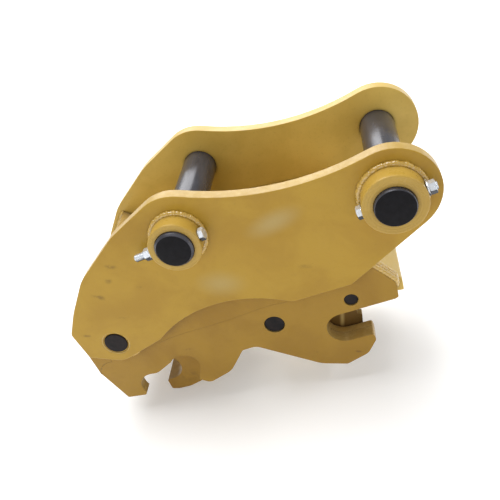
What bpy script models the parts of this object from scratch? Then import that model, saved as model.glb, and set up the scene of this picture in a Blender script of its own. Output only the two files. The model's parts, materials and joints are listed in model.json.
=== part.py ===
"""Hydraulic quick coupler for a 20-tonne class excavator, built as separate pieces.

Units are metres, +Z up. The design frame has its origin on the rear stick pin, X along the
line of the two stick pins towards the front jaw, and Y across. Pieces are drawn in that frame
under one empty, which is moved at the end so that the whole coupler stands on Z = 0 with the
middle of its outer box over the origin.
"""
import bpy
import bmesh
import math
from mathutils import Vector

# ---------------------------------------------------------------- driving dimensions
GAP = 0.0003                      # left between pieces that touch

# widths, all measured across the coupler
STICK_WIDTH = 0.290               # between the upper side plates, where the stick goes
UPPER_T = 0.030                   # upper side plate
LOWER_T = 0.030                   # lower hook plate
DOUBLER_T = 0.020                 # plate that thickens the front jaw
HOOK_WIDTH = 0.176

# the two pins that carry the coupler on the stick
STICK_PIN_SPREAD = 0.4375
STICK_PIN_R = 0.040
PIN_PROUD = 0.010                 # how far a pin stands past its collar
FRONT_PIN_CHAMFER = 0.0015
REAR_PIN_CHAMFER = 0.004
FRONT_COLLAR_R = 0.063
FRONT_COLLAR_LENGTH = 0.045
REAR_COLLAR_R = 0.0557
REAR_COLLAR_LENGTH = 0.042
COLLAR_BEVEL = 0.0015
EAR_R = 0.095                     # side plate round each stick pin
SADDLE_Z = 0.0588                 # lowest point of the top edge between the ears

# M16 cross bolts through the collars
BOLT_R = 0.008
BOLT_AF = 0.024                   # across the flats
HEAD_H = 0.010
NUT_H = 0.013
WASHER_R = 0.0148
WASHER_T = 0.003
BOLT_OVERLAP = 0.001              # how far a shank reaches into its own head
BOLT_TILT = math.radians(10.0)
FRONT_BOLT_OFFSET = 0.0240        # from the side plate's face
FRONT_BOLT_TAIL = 0.003           # thread past the nut
REAR_BOLT_OFFSET = 0.0245
REAR_BOLT_TAIL = 0.024

# hook shaft (rear, low), cylinder pin (middle) and latch pin (over the front jaw)
HOOK_PIVOT = (-0.247, -0.252)
SHAFT_R = 0.0278
SHAFT_BUSH_T = 0.0042
HOOK_BUSH_T = 0.0050
BUSH_RECESS = 0.003               # the shaft itself ends flush with the side plates
CYLINDER_PIN = (0.1266, -0.2978)
CYLINDER_PIN_R = 0.0238
CYLINDER_PIN_RECESS = 0.0025
CYLINDER_PIN_CHAMFER = 0.002
LATCH_PIN = (0.311, -0.263)
LATCH_PIN_R = 0.0158
LATCH_PIN_RECESS = 0.003

# front jaw: a round seat with a mouth that points forward and a little up
JAW = (0.282, -0.340)
JAW_R = 0.041
JAW_TILT = math.radians(8.5)
LIP_REACH = 0.055                 # lower lip, from the seat's centre along the mouth
BEAK_REACH = 0.131                # upper lip

# rear mouth in the lower plates
SEAT = (-0.2168, -0.4333)
SEAT_R = 0.0408
RECESS = (-0.1227, -0.3863)
RECESS_R = 0.0386
SHOULDER_Z = -0.334               # where the rear cross plate sits on the lower plates
SHOULDER_X = -0.300
TOE_R = 0.036
LOWER_TOP_Z = -0.135              # hidden top edge of the lower plates

# moving hook, at the pose in which it is drawn
HOOK_BOSS_R = 0.050
NOTCH = (-0.2014, -0.4308)
NOTCH_R = 0.0405
ROD_PIN = (-0.180, -0.318)
ROD_PIN_R = 0.020
ROD_EYE_R = 0.038
ROD_EYE_CLEARANCE = 0.0022        # free play that the drawn linkage needs on the rod pin
ROD_EYE_SIDE_PLAY = 0.003
CHEEK_R = 0.042
SLOT_MARGIN = 0.0045              # round the rod eye

# hydraulic cylinder, along its own line from the cylinder pin to the rod pin
BASE_EYE_R = 0.042
BASE_EYE_WIDTH = 0.094
BARREL_R = 0.0445
BARREL_CLEARANCE = 0.0055         # each side of the barrel, in the hook's slot
BORE_R = 0.035
BARREL_START = 0.036
BORE_START = 0.058
BARREL_END = 0.205
GLAND_LENGTH = 0.023
ROD_R = 0.020
PISTON_START = 0.085
PISTON_LENGTH = 0.030
PISTON_CLEARANCE = 0.0005
PORT_R = 0.013
PORT_HEIGHT = 0.012
PORT_STATIONS = {"base": 0.072, "rod": 0.190}
VALVE_STATION = 0.131
VALVE_SIZE = (0.064, 0.044, 0.040)
VALVE_PLUG = (0.011, 0.012)       # radius and length
PAD_HEIGHT = 0.004
BOSS_ROOT = 0.020                 # bosses and pad start this far from the barrel's axis
FITTING_HEX = (PORT_R * 1.08, 0.010)
FITTING_NOSE = (PORT_R * 0.70, 0.012)
PORT_BORE_R = PORT_R * 0.55

# cross plates
DECK_T = 0.016
DECK_TOP = -0.095
DECK_X = (-0.205, 0.335)
DECK_WINDOW = (0.000, 0.165)
DECK_WINDOW_WIDTH = 0.150
REAR_PLATE_T = 0.022
REAR_PLATE_LEAN = math.radians(53)
FLOOR_T = 0.016
FLOOR_START = 0.095               # X of its rear end
FLOOR_LENGTH = 0.110
FLOOR_INSET = 0.008               # above the lower plates' edge
BELLY = ((0.066, -0.355), (0.206, -0.4405))    # the lower plates' edge that the floor follows

# safety latch in the front jaw
LATCH_ARM_T = 0.018
LATCH_HUB_R = 0.0265
HUB_RELIEF = 0.0012               # hub tube bored clear of the pin between the arms
SPRING_WIRE_R = 0.002
SPRING_TURNS = 4
SPRING_PITCH = 0.0052

# keepers on the left side, welded to their pins and bolted to the plates
KEEPER_BOLT_R = 0.006
KEEPER_BOLT_AF = 0.019
KEEPER_HEAD_H = 0.0075
KEEPER_T = 0.008
KEEPER_BOLT_DEPTH = 0.020
SHAFT_KEEPER = (0.030, 0.078)     # half width, bolt offset from the pin
CYLINDER_KEEPER = (0.024, 0.052)
LATCH_KEEPER = (0.019, 0.042)

# widths worked out from the driving ones
UPPER_IN = STICK_WIDTH / 2
UPPER_OUT = UPPER_IN + UPPER_T
LOWER_OUT = UPPER_IN - GAP
LOWER_IN = LOWER_OUT - LOWER_T
DOUBLER_OUT = LOWER_IN - GAP
DOUBLER_IN = DOUBLER_OUT - DOUBLER_T
HOOK_SLOT = 2 * (BARREL_R + BARREL_CLEARANCE)
ROD_EYE_WIDTH = HOOK_SLOT - 2 * ROD_EYE_SIDE_PLAY

SIDES = {"right": -1, "left": 1}
ROUND = 32                        # facets of a round piece that shows
BOLT_FACETS = 12
INNER = 24                        # facets of a round piece inside
ARC_SAG = 0.0002                  # how far an outline's arc may run inside its true curve


# ---------------------------------------------------------------- scene and materials
def clear_scene():
    for old in list(bpy.data.objects):
        bpy.data.objects.remove(old, do_unlink=True)


clear_scene()
PARTS = bpy.data.collections.new("quick_coupler")
CUTTERS = bpy.data.collections.new("cutters")
bpy.context.scene.collection.children.link(PARTS)
bpy.context.scene.collection.children.link(CUTTERS)


def material(name, colour, roughness, metallic):
    made = bpy.data.materials.new(name)
    made.use_nodes = True
    shader = made.node_tree.nodes["Principled BSDF"]
    shader.inputs["Base Color"].default_value = (*colour, 1.0)
    shader.inputs["Roughness"].default_value = roughness
    shader.inputs["Metallic"].default_value = metallic
    return made


YELLOW = material("yellow_paint", (0.45, 0.28, 0.06), 0.45, 0.0)
DARK_STEEL = material("dark_steel", (0.035, 0.035, 0.042), 0.35, 0.8)
ZINC = material("zinc_plated", (0.62, 0.63, 0.65), 0.3, 1.0)
BRONZE = material("bronze", (0.42, 0.27, 0.12), 0.4, 1.0)
CHROME = material("hard_chrome", (0.75, 0.76, 0.78), 0.12, 1.0)
BLACK_PAINT = material("black_paint", (0.03, 0.03, 0.032), 0.5, 0.0)
SPRING_STEEL = material("spring_steel", (0.18, 0.18, 0.20), 0.4, 1.0)


def frame(name, parent=None, place=(0, 0, 0), turn=0.0):
    """An empty; turn is about Y."""
    empty = bpy.data.objects.new(name, None)
    empty.empty_display_size = 0.05
    empty.parent = parent
    empty.location = place
    empty.rotation_euler = (0, turn, 0)
    PARTS.objects.link(empty)
    return empty


def cylinder_line():
    """Length of the line from rod pin to cylinder pin, and its turn about Y."""
    along_x = CYLINDER_PIN[0] - ROD_PIN[0]
    along_z = CYLINDER_PIN[1] - ROD_PIN[1]
    return math.hypot(along_x, along_z), -math.atan2(along_z, along_x)


CYLINDER_LENGTH, CYLINDER_TURN = cylinder_line()
COUPLER = frame("coupler_frame")
HOOK_AXIS = frame("hook_axis", COUPLER, (HOOK_PIVOT[0], 0, HOOK_PIVOT[1]))
CYLINDER_AXIS = frame("cylinder_axis", COUPLER, (CYLINDER_PIN[0], 0, CYLINDER_PIN[1]), CYLINDER_TURN)
ROD_AXIS = frame("rod_axis", CYLINDER_AXIS)
LATCH_AXIS = frame("latch_axis", COUPLER, (LATCH_PIN[0], 0, LATCH_PIN[1]))


# ---------------------------------------------------------------- outlines
def on_circle(centre, radius, angle):
    return (centre[0] + radius * math.cos(angle), centre[1] + radius * math.sin(angle))


def arc(centre, radius, start, end):
    """Points of an arc; angles in degrees, start to end either way round."""
    start, end = math.radians(start), math.radians(end)
    step = 2 * math.acos(max(0.7, 1 - ARC_SAG / radius))
    steps = max(2, math.ceil(abs(end - start) / step))
    return [on_circle(centre, radius, start + (end - start) * i / steps) for i in range(steps + 1)]


def circle(centre, radius, facets=ROUND):
    return [on_circle(centre, radius, 2 * math.pi * i / facets) for i in range(facets)]


def rounded(corner, before, after, radius):
    """The corner (x, z) replaced by an arc of that radius, tangent to both of its sides."""
    here = Vector(corner)
    back = (Vector(before) - here).normalized()
    ahead = (Vector(after) - here).normalized()
    half = back.angle(ahead) / 2
    centre = here + (back + ahead).normalized() * (radius / math.sin(half))
    first = here + back * (radius / math.tan(half)) - centre
    last = here + ahead * (radius / math.tan(half)) - centre
    sweep = first.angle(last)
    sign = 1 if first.x * last.y - first.y * last.x > 0 else -1
    start = math.degrees(math.atan2(first.y, first.x))
    return arc(centre, radius, start, start + sign * math.degrees(sweep))


def outline(*items):
    """A closed outline from corners (x, z), rounded corners (x, z, radius) and lists of points."""
    corners = []
    for item in items:
        corners += item if isinstance(item, list) else [item]
    points = []
    for i, corner in enumerate(corners):
        if len(corner) == 2:
            points.append(corner)
        else:
            before = corners[i - 1][:2]
            after = corners[(i + 1) % len(corners)][:2]
            points += rounded(corner[:2], before, after, corner[2])
    return points


def tangent_angle(point, centre, radius):
    """Angle, in degrees, at which the line from point touches the circle on its right side."""
    x, z = centre[0] - point[0], centre[1] - point[1]
    heading = math.atan2(z, x) - math.asin(radius / math.hypot(x, z))
    return math.degrees(heading) - 90


def shifted(points, origin):
    return [(point[0] - origin[0], point[1] - origin[1]) for point in points]


def jaw_point(along, across):
    """A point given along the front jaw's mouth and across it."""
    return (JAW[0] + along * math.cos(JAW_TILT) - across * math.sin(JAW_TILT),
            JAW[1] + along * math.sin(JAW_TILT) + across * math.cos(JAW_TILT))


# ---------------------------------------------------------------- bodies
def add(name, mesh, finish, parent, place=(0, 0, 0), turn=(0, 0, 0), home=PARTS):
    made = bpy.data.objects.new(name, mesh)
    made.parent = parent
    made.location = place
    made.rotation_euler = turn
    home.objects.link(made)
    if finish is None:
        made.hide_render = True
        made.display_type = 'WIRE'
    else:
        mesh.materials.clear()
        mesh.materials.append(finish)
    return made


def smooth(mesh, angle=35.0):
    mesh.shade_smooth()
    mesh.set_sharp_from_angle(angle=math.radians(angle))


def plate(name, loops, low_y, high_y, finish, parent=COUPLER, origin=(0, 0), home=PARTS):
    """A flat plate from loops of (x, z): the first is the outside, the others are holes."""
    curve = bpy.data.curves.new(name, 'CURVE')
    curve.dimensions = '2D'
    curve.fill_mode = 'BOTH'
    curve.extrude = (high_y - low_y) / 2
    for loop in loops:
        spline = curve.splines.new('POLY')
        points = shifted(loop, origin)
        spline.points.add(len(points) - 1)
        for target, (x, z) in zip(spline.points, points):
            target.co = (x, z, 0, 1)
        spline.use_cyclic_u = True
    drawn = bpy.data.objects.new(name, curve)
    bpy.context.scene.collection.objects.link(drawn)
    mesh = bpy.data.meshes.new_from_object(drawn.evaluated_get(bpy.context.evaluated_depsgraph_get()))
    bpy.data.objects.remove(drawn)
    bpy.data.curves.remove(curve)
    shell = bmesh.new()
    shell.from_mesh(mesh)
    bmesh.ops.remove_doubles(shell, verts=shell.verts, dist=0.00001)
    bmesh.ops.recalc_face_normals(shell, faces=shell.faces)
    shell.to_mesh(mesh)
    shell.free()
    mesh.name = name
    smooth(mesh)
    place = (origin[0], (low_y + high_y) / 2, origin[1])
    if parent is not COUPLER:
        place = (0, place[1], 0)
    return add(name, mesh, finish, parent, place, (math.pi / 2, 0, 0), home)


AXIS_TURNS = {"x": (0, math.pi / 2, 0), "y": (-math.pi / 2, 0, 0), "z": (0, 0, 0)}


def turned(name, profile, axis, finish, parent=COUPLER, place=(0, 0, 0), closed=False, facets=INNER,
           home=PARTS):
    """A turned piece: profile of (radius, height), down its outer side, spun round the axis."""
    mesh = bpy.data.meshes.new(name)
    points = [(radius, 0, height) for radius, height in profile]
    edges = [(i, i + 1) for i in range(len(points) - 1)]
    if closed:
        edges.append((len(points) - 1, 0))
    mesh.from_pydata(points, edges, [])
    made = add(name, mesh, finish, parent, place, AXIS_TURNS[axis], home)
    spin = made.modifiers.new("Screw", 'SCREW')
    spin.axis = 'Z'
    spin.steps = facets
    spin.render_steps = facets
    spin.use_merge_vertices = True
    spin.merge_threshold = 0.00001
    spin.use_smooth_shade = False
    return made


def rod_profile(radius, low, high, chamfer=0.0):
    if not chamfer:
        return [(0, high), (radius, high), (radius, low), (0, low)]
    return [(0, high), (radius - chamfer, high), (radius, high - chamfer),
            (radius, low + chamfer), (radius - chamfer, low), (0, low)]


def ring_profile(inner, outer, low, high, bevel=0.0):
    if not bevel:
        return [(outer, high), (outer, low), (inner, low), (inner, high)]
    return [(outer - bevel, high), (outer, high - bevel), (outer, low + bevel),
            (outer - bevel, low), (inner, low), (inner, high)]


def prism(name, radius, depth, sides, finish, parent, place, turn, home=PARTS):
    """A regular prism about its own Z, by its circumscribed radius."""
    shell = bmesh.new()
    bmesh.ops.create_cone(shell, cap_ends=True, segments=sides, radius1=radius, radius2=radius, depth=depth)
    mesh = bpy.data.meshes.new(name)
    shell.to_mesh(mesh)
    shell.free()
    return add(name, mesh, finish, parent, place, turn, home)


def block(name, size, finish, parent, place, home=PARTS):
    shell = bmesh.new()
    bmesh.ops.create_cube(shell, size=1.0)
    bmesh.ops.scale(shell, vec=size, verts=shell.verts)
    mesh = bpy.data.meshes.new(name)
    shell.to_mesh(mesh)
    shell.free()
    return add(name, mesh, finish, parent, place, (0, 0, 0), home)


def combine(target, tool, operation):
    """Union or difference with a tool object that isn't itself a piece."""
    step = target.modifiers.new(operation.title(), 'BOOLEAN')
    step.operation = operation
    step.solver = 'EXACT'
    step.object = tool


# ---------------------------------------------------------------- upper structure
FRONT_PIN = (STICK_PIN_SPREAD, 0.0)
REAR_PIN = (0.0, 0.0)


def upper_outline():
    """Outline of an upper side plate: two ears, a saddle, the sloping back and the arched foot."""
    half = STICK_PIN_SPREAD / 2
    saddle_r = (half ** 2 + SADDLE_Z ** 2 - EAR_R ** 2) / (2 * (EAR_R - SADDLE_Z))
    lean = math.degrees(math.atan2(SADDLE_Z + saddle_r, half))
    front_corner = (0.323, -0.198)
    return outline(
        arc(FRONT_PIN, EAR_R, tangent_angle(front_corner, FRONT_PIN, EAR_R), 180 - lean),
        arc((half, SADDLE_Z + saddle_r), saddle_r, -lean, lean - 180)[1:-1],
        arc(REAR_PIN, EAR_R, lean, 120),
        (-0.142, 0.028, 0.150), (-0.252, -0.064, 0.120), (-0.310, -0.147, 0.300),
        (-0.343, -0.206, 0.015), (-0.329, -0.283, 0.014), (-0.249, -0.310, 0.050), (-0.137, -0.262, 0.015),
        arc((0.058, -0.471), 0.285, 131.3, 67)[1:],
        (0.191, -0.2175, 0.030), (*front_corner, 0.012))


def shaft_bush_outer():
    return SHAFT_R + GAP + SHAFT_BUSH_T


def keeper_bolt(centre, keeper, lean=0.0):
    """Bolt place of a keeper: offset from the pin, upright or leaning, in degrees."""
    return on_circle(centre, keeper[1], math.radians(90 - lean))


def upper_side_plates():
    for side, sign in SIDES.items():
        holes = [circle(FRONT_PIN, STICK_PIN_R + GAP), circle(REAR_PIN, STICK_PIN_R + GAP),
                 circle(HOOK_PIVOT, shaft_bush_outer() + GAP)]
        if side == "left":
            holes.append(circle(keeper_bolt(HOOK_PIVOT, SHAFT_KEEPER, 45), KEEPER_BOLT_R + GAP, BOLT_FACETS))
        low, high = sorted((sign * UPPER_IN, sign * UPPER_OUT))
        plate("upper_side_plate_" + side, [upper_outline()] + holes, low, high, YELLOW)


PIN_SETS = {
    "front": (FRONT_PIN, FRONT_PIN_CHAMFER, FRONT_COLLAR_R, FRONT_COLLAR_LENGTH, FRONT_BOLT_OFFSET),
    "rear": (REAR_PIN, REAR_PIN_CHAMFER, REAR_COLLAR_R, REAR_COLLAR_LENGTH, REAR_BOLT_OFFSET)}


def stick_pins_and_collars():
    """Each stick pin with its two collars, held by a cross bolt and nut through each collar."""
    for end, (centre, chamfer, collar_r, collar_length, bolt_offset) in PIN_SETS.items():
        bolt_y = UPPER_OUT + bolt_offset
        half = UPPER_OUT + collar_length + PIN_PROUD
        pin = turned(end + "_stick_pin", rod_profile(STICK_PIN_R, -half, half, chamfer), "y",
                     DARK_STEEL, place=(centre[0], 0, centre[1]), facets=ROUND)
        for side, sign in SIDES.items():
            across = (math.pi / 2, 0, 0)
            place = (centre[0], sign * bolt_y, centre[1])
            turn = (0, math.pi / 2 - BOLT_TILT, 0)
            drill = prism("drill_%s_%s" % (end, side), BOLT_R + GAP, 3 * collar_r, BOLT_FACETS, None, COUPLER,
                          place, turn, CUTTERS)
            low = UPPER_OUT + GAP
            collar = turned("%s_collar_%s" % (end, side),
                            ring_profile(STICK_PIN_R + GAP, collar_r, low, UPPER_OUT + collar_length,
                                         COLLAR_BEVEL), "y", YELLOW,
                            place=(centre[0], 0, centre[1]), closed=True, facets=ROUND)
            if sign < 0:
                collar.rotation_euler = across
            combine(pin, drill, 'DIFFERENCE')
            combine(collar, drill, 'DIFFERENCE')
            cross_bolt(end, side, place, collar_r + GAP)


# which way a cross bolt points, and how much thread stands past its nut
BOLT_SETS = {"front": (math.pi, FRONT_BOLT_TAIL), "rear": (0.0, REAR_BOLT_TAIL)}


def cross_bolt(end, side, place, seat):
    """Hex bolt through a collar and its pin, with washer and nut on the coupler's outer end."""
    flip, bolt_tail = BOLT_SETS[end]
    holder = frame("cross_bolt_axis_%s_%s" % (end, side), COUPLER, place, math.pi / 2 - BOLT_TILT + flip)
    nut_seat = seat + WASHER_T + GAP
    tail = nut_seat + NUT_H + bolt_tail
    hex_r = BOLT_AF / math.sqrt(3)
    bolt = prism("%s_cross_bolt_%s" % (end, side), BOLT_R, seat + tail + BOLT_OVERLAP, BOLT_FACETS, ZINC,
                 holder, (0, 0, (seat + BOLT_OVERLAP - tail) / 2), (0, 0, 0))
    head = prism("bolt_head_%s_%s" % (end, side), hex_r, HEAD_H, 6, None, holder,
                 (0, 0, seat + HEAD_H / 2), (0, 0, 0), CUTTERS)
    combine(bolt, head, 'UNION')
    bore = circle((0, 0), BOLT_R + GAP, BOLT_FACETS)
    for kind, edge, base, thickness in (("washer", circle((0, 0), WASHER_R, INNER), seat, WASHER_T),
                                        ("nut", circle((0, 0), hex_r, 6), nut_seat, NUT_H)):
        piece = plate("%s_cross_%s_%s" % (end, kind, side), [edge, bore], -thickness / 2, thickness / 2,
                      ZINC, holder)
        piece.location = (0, 0, -base - thickness / 2)
        piece.rotation_euler = (0, 0, 0)


# ---------------------------------------------------------------- lower structure
def jaw_path(bottom_start, beak):
    """From the bottom edge round the lower lip and the seat to a point on the upper lip."""
    seat_bottom = math.degrees(JAW_TILT) - 90
    return [bottom_start, (0.268, -0.4545, 0.010), (0.322, -0.429, 0.030), (0.3465, -0.390, 0.014),
            (*jaw_point(LIP_REACH, -JAW_R), 0.005)] \
        + arc(JAW, JAW_R, seat_bottom, seat_bottom - 180) + [jaw_point(beak, JAW_R)]


def lower_outline():
    toe = (SHOULDER_X - 0.007, SHOULDER_Z - TOE_R)
    return outline(
        (0.414, -0.236, 0.025), (0.372, -0.187, 0.025), (0.325, -0.150, 0.030),
        (0.290, LOWER_TOP_Z, 0.030), (-0.200, LOWER_TOP_Z, 0.050), (SHOULDER_X, -0.215, 0.030),
        (SHOULDER_X, SHOULDER_Z),
        arc(toe, TOE_R, 90, 180),
        (-0.307, -0.461, 0.004), (-0.2575, -0.461, 0.004),
        arc(SEAT, SEAT_R, 208.6, 90),
        (-0.200, SEAT[1] + SEAT_R, 0.030),
        arc(RECESS, RECESS_R, 145, -5),
        (-0.103, -0.434, 0.006), (-0.078, -0.4505, 0.020), (-0.014, -0.421, 0.060),
        (0.031, -0.3615, 0.008), (0.066, -0.355, 0.030),
        jaw_path((0.206, -0.4405, 0.050), BEAK_REACH),
        (0.4135, -0.276, 0.005))


def lower_hook_plates():
    for side, sign in SIDES.items():
        holes = [circle(HOOK_PIVOT, SHAFT_R + GAP), circle(CYLINDER_PIN, CYLINDER_PIN_R + GAP),
                 circle(LATCH_PIN, LATCH_PIN_R + GAP)]
        if side == "left":
            holes.append(circle(keeper_bolt(HOOK_PIVOT, SHAFT_KEEPER, 45), KEEPER_BOLT_R + GAP, BOLT_FACETS))
            holes.append(circle(keeper_bolt(CYLINDER_PIN, CYLINDER_KEEPER, 90), KEEPER_BOLT_R + GAP, BOLT_FACETS))
            holes.append(circle(keeper_bolt(LATCH_PIN, LATCH_KEEPER, 90), KEEPER_BOLT_R + GAP, BOLT_FACETS))
        low, high = sorted((sign * LOWER_IN, sign * LOWER_OUT))
        plate("lower_hook_plate_" + side, [lower_outline()] + holes, low, high, YELLOW)


def jaw_doublers():
    """Inner plates that thicken the front jaw and carry the latch pin."""
    edge = outline((0.225, -0.232, 0.020), (0.205, -0.300, 0.030),
                   jaw_path((0.206, -0.440), 0.092),
                   (0.378, -0.262, 0.012), (0.350, -0.222, 0.020))
    bolt_hole = circle(keeper_bolt(LATCH_PIN, LATCH_KEEPER, 90), KEEPER_BOLT_R + GAP, BOLT_FACETS)
    for side, sign in SIDES.items():
        low, high = sorted((sign * DOUBLER_IN, sign * DOUBLER_OUT))
        holes = [circle(LATCH_PIN, LATCH_PIN_R + GAP)]
        if side == "left":
            holes.append(bolt_hole)
        plate("jaw_doubler_" + side, [edge] + holes, low, high, YELLOW)


def cross_plates():
    """Rear, front, top and bottom plates that tie the two sides into a box."""
    reach = UPPER_IN - GAP
    toe = (SHOULDER_X - 0.007, SHOULDER_Z - TOE_R)
    rear_face = [(-0.238, -0.078), (-0.268, -0.113), (-0.302, -0.163), (-0.329, -0.209)]
    thickness = (REAR_PLATE_T * math.sin(REAR_PLATE_LEAN), -REAR_PLATE_T * math.cos(REAR_PLATE_LEAN))
    rear_back = [(x + thickness[0], z + thickness[1]) for x, z in rear_face[:-1]]
    rear = outline(arc(toe, TOE_R + GAP, 180, 90), (SHOULDER_X - GAP, SHOULDER_Z + GAP),
                   (SHOULDER_X - GAP, -0.209), rear_back[2], rear_back[1], rear_back[0],
                   *rear_face, (-0.331, -0.254, 0.030), (-0.352, -0.286, 0.012),
                   (toe[0] - TOE_R - 0.002, toe[1]))
    plate("rear_cross_plate", [rear], -reach, reach, YELLOW)

    front = outline((0.347, -0.166), (0.330, -0.184), (0.396, -0.252, 0.012), (0.402, -0.283),
                    (0.428, -0.283, 0.003), (0.428, -0.250, 0.012))
    inner = LOWER_IN - GAP
    plate("front_cross_plate", [front], -inner, inner, YELLOW)

    deck = outline((DECK_X[0], DECK_TOP - DECK_T), (DECK_X[1], DECK_TOP - DECK_T),
                   (DECK_X[1], DECK_TOP), (DECK_X[0], DECK_TOP))
    top = plate("deck_plate", [deck], -reach, reach, YELLOW)
    window = block("deck_window", (DECK_WINDOW[1] - DECK_WINDOW[0], DECK_WINDOW_WIDTH, 4 * DECK_T), None,
                   COUPLER, ((DECK_WINDOW[0] + DECK_WINDOW[1]) / 2, 0, DECK_TOP), CUTTERS)
    combine(top, window, 'DIFFERENCE')

    (rear_x, rear_z), (front_x, front_z) = BELLY
    down = math.atan2(front_z - rear_z, front_x - rear_x)
    start = (FLOOR_START, rear_z + math.tan(down) * (FLOOR_START - rear_x) + FLOOR_INSET)
    ahead = (math.cos(down), math.sin(down))
    up = (-ahead[1] * FLOOR_T, ahead[0] * FLOOR_T)
    end = (start[0] + FLOOR_LENGTH * ahead[0], start[1] + FLOOR_LENGTH * ahead[1])
    floor = [start, end, (end[0] + up[0], end[1] + up[1]), (start[0] + up[0], start[1] + up[1])]
    plate("floor_plate", [floor], -inner, inner, YELLOW)


# ---------------------------------------------------------------- hook and its shaft
def hook_outline():
    boss_right = math.degrees(math.atan2(ROD_PIN[1] - HOOK_PIVOT[1], ROD_PIN[0] - HOOK_PIVOT[0])) + 96
    return outline(
        arc(HOOK_PIVOT, HOOK_BOSS_R, boss_right, 190),
        arc(NOTCH, NOTCH_R, 115, -80),
        (-0.2148, -0.4765, 0.003), (-0.2125, -0.5085, 0.006), (-0.193, -0.5115, 0.030),
        (-0.160, -0.508, 0.050), (-0.118, -0.492, 0.030), (-0.096, -0.450, 0.030), (-0.112, -0.400, 0.040),
        arc(ROD_PIN, CHEEK_R, 0, boss_right))


def moving_hook():
    """Hook with a full-width boss and nose, and two cheeks that hold the rod pin."""
    half = HOOK_WIDTH / 2
    bore = circle(HOOK_PIVOT, SHAFT_R + 2 * GAP + HOOK_BUSH_T + GAP)
    pin_bore = circle(ROD_PIN, ROD_PIN_R + GAP)
    hook = plate("moving_hook", [hook_outline(), bore, pin_bore], -half, half, YELLOW, HOOK_AXIS,
                 HOOK_PIVOT)
    clear_r = ROD_EYE_R + SLOT_MARGIN
    slot = [*arc(ROD_PIN, clear_r, 100, 250), (-0.080, -0.417), (-0.080, -0.225),
            (ROD_PIN[0] - 0.007, -0.225)]
    slot_tool = plate("hook_slot", [slot], -HOOK_SLOT / 2, HOOK_SLOT / 2, None, HOOK_AXIS, HOOK_PIVOT,
                      CUTTERS)
    combine(hook, slot_tool, 'DIFFERENCE')

    place = (ROD_PIN[0] - HOOK_PIVOT[0], 0, ROD_PIN[1] - HOOK_PIVOT[1])
    turned("rod_pin", rod_profile(ROD_PIN_R, -half + 0.001, half - 0.001, 0.002), "y", DARK_STEEL,
           HOOK_AXIS, place)
    turned("hook_bush", ring_profile(SHAFT_R + 2 * GAP, SHAFT_R + 2 * GAP + HOOK_BUSH_T, -half, half), "y",
           BRONZE, HOOK_AXIS, closed=True)


def hook_shaft():
    place = (HOOK_PIVOT[0], 0, HOOK_PIVOT[1])
    turned("hook_shaft", rod_profile(SHAFT_R, -UPPER_OUT, UPPER_OUT, 0.0015), "y", DARK_STEEL, place=place,
           facets=ROUND)
    for side, sign in SIDES.items():
        low, high = sorted((sign * (UPPER_IN + GAP), sign * (UPPER_OUT - BUSH_RECESS)))
        turned("shaft_bush_" + side, ring_profile(SHAFT_R + GAP, shaft_bush_outer(), low, high), "y",
               YELLOW, place=place, closed=True, facets=ROUND)
        low, high = sorted((sign * (HOOK_WIDTH / 2 + GAP), sign * (LOWER_IN - GAP)))
        turned("hook_spacer_" + side, ring_profile(SHAFT_R + GAP, HOOK_BOSS_R - 0.006, low, high), "y",
               BLACK_PAINT, place=place, closed=True)


# ---------------------------------------------------------------- hydraulic cylinder
def along(station):
    """Place on the cylinder's own line, measured from the cylinder pin towards the rod."""
    return -station


def cylinder_barrel():
    """Barrel with its base eye, port bosses and valve pad; bored open at the rod end."""
    barrel = turned("cylinder_barrel", rod_profile(BARREL_R, along(BARREL_END), along(BARREL_START)), "x",
                    BLACK_PAINT, CYLINDER_AXIS)
    half = BASE_EYE_WIDTH / 2
    eye = turned("base_eye", ring_profile(CYLINDER_PIN_R + GAP, BASE_EYE_R, -half, half), "y", None,
                 CYLINDER_AXIS, closed=True, home=CUTTERS)
    combine(barrel, eye, 'UNION')
    for name, station in PORT_STATIONS.items():
        boss = prism("port_boss_" + name, PORT_R, BARREL_R + PORT_HEIGHT - BOSS_ROOT, INNER, None,
                     CYLINDER_AXIS, (along(station), 0, (BARREL_R + PORT_HEIGHT + BOSS_ROOT) / 2),
                     (0, 0, 0), CUTTERS)
        combine(barrel, boss, 'UNION')
    pad = block("valve_pad", (VALVE_SIZE[0], VALVE_SIZE[1], BARREL_R + PAD_HEIGHT - BOSS_ROOT), None,
                CYLINDER_AXIS, (along(VALVE_STATION), 0, (BARREL_R + PAD_HEIGHT + BOSS_ROOT) / 2), CUTTERS)
    combine(barrel, pad, 'UNION')
    depth = BARREL_END - BORE_START + 0.010
    bore = prism("barrel_bore", BORE_R, depth, INNER, None, CYLINDER_AXIS,
                 (along(BORE_START) - depth / 2, 0, 0), AXIS_TURNS["x"], CUTTERS)
    combine(barrel, bore, 'DIFFERENCE')
    for name, station in PORT_STATIONS.items():
        drill = prism("port_drill_" + name, PORT_BORE_R, 0.060, BOLT_FACETS, None, CYLINDER_AXIS,
                      (along(station), 0, BARREL_R + 0.002), (0, 0, 0), CUTTERS)
        combine(barrel, drill, 'DIFFERENCE')


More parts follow.
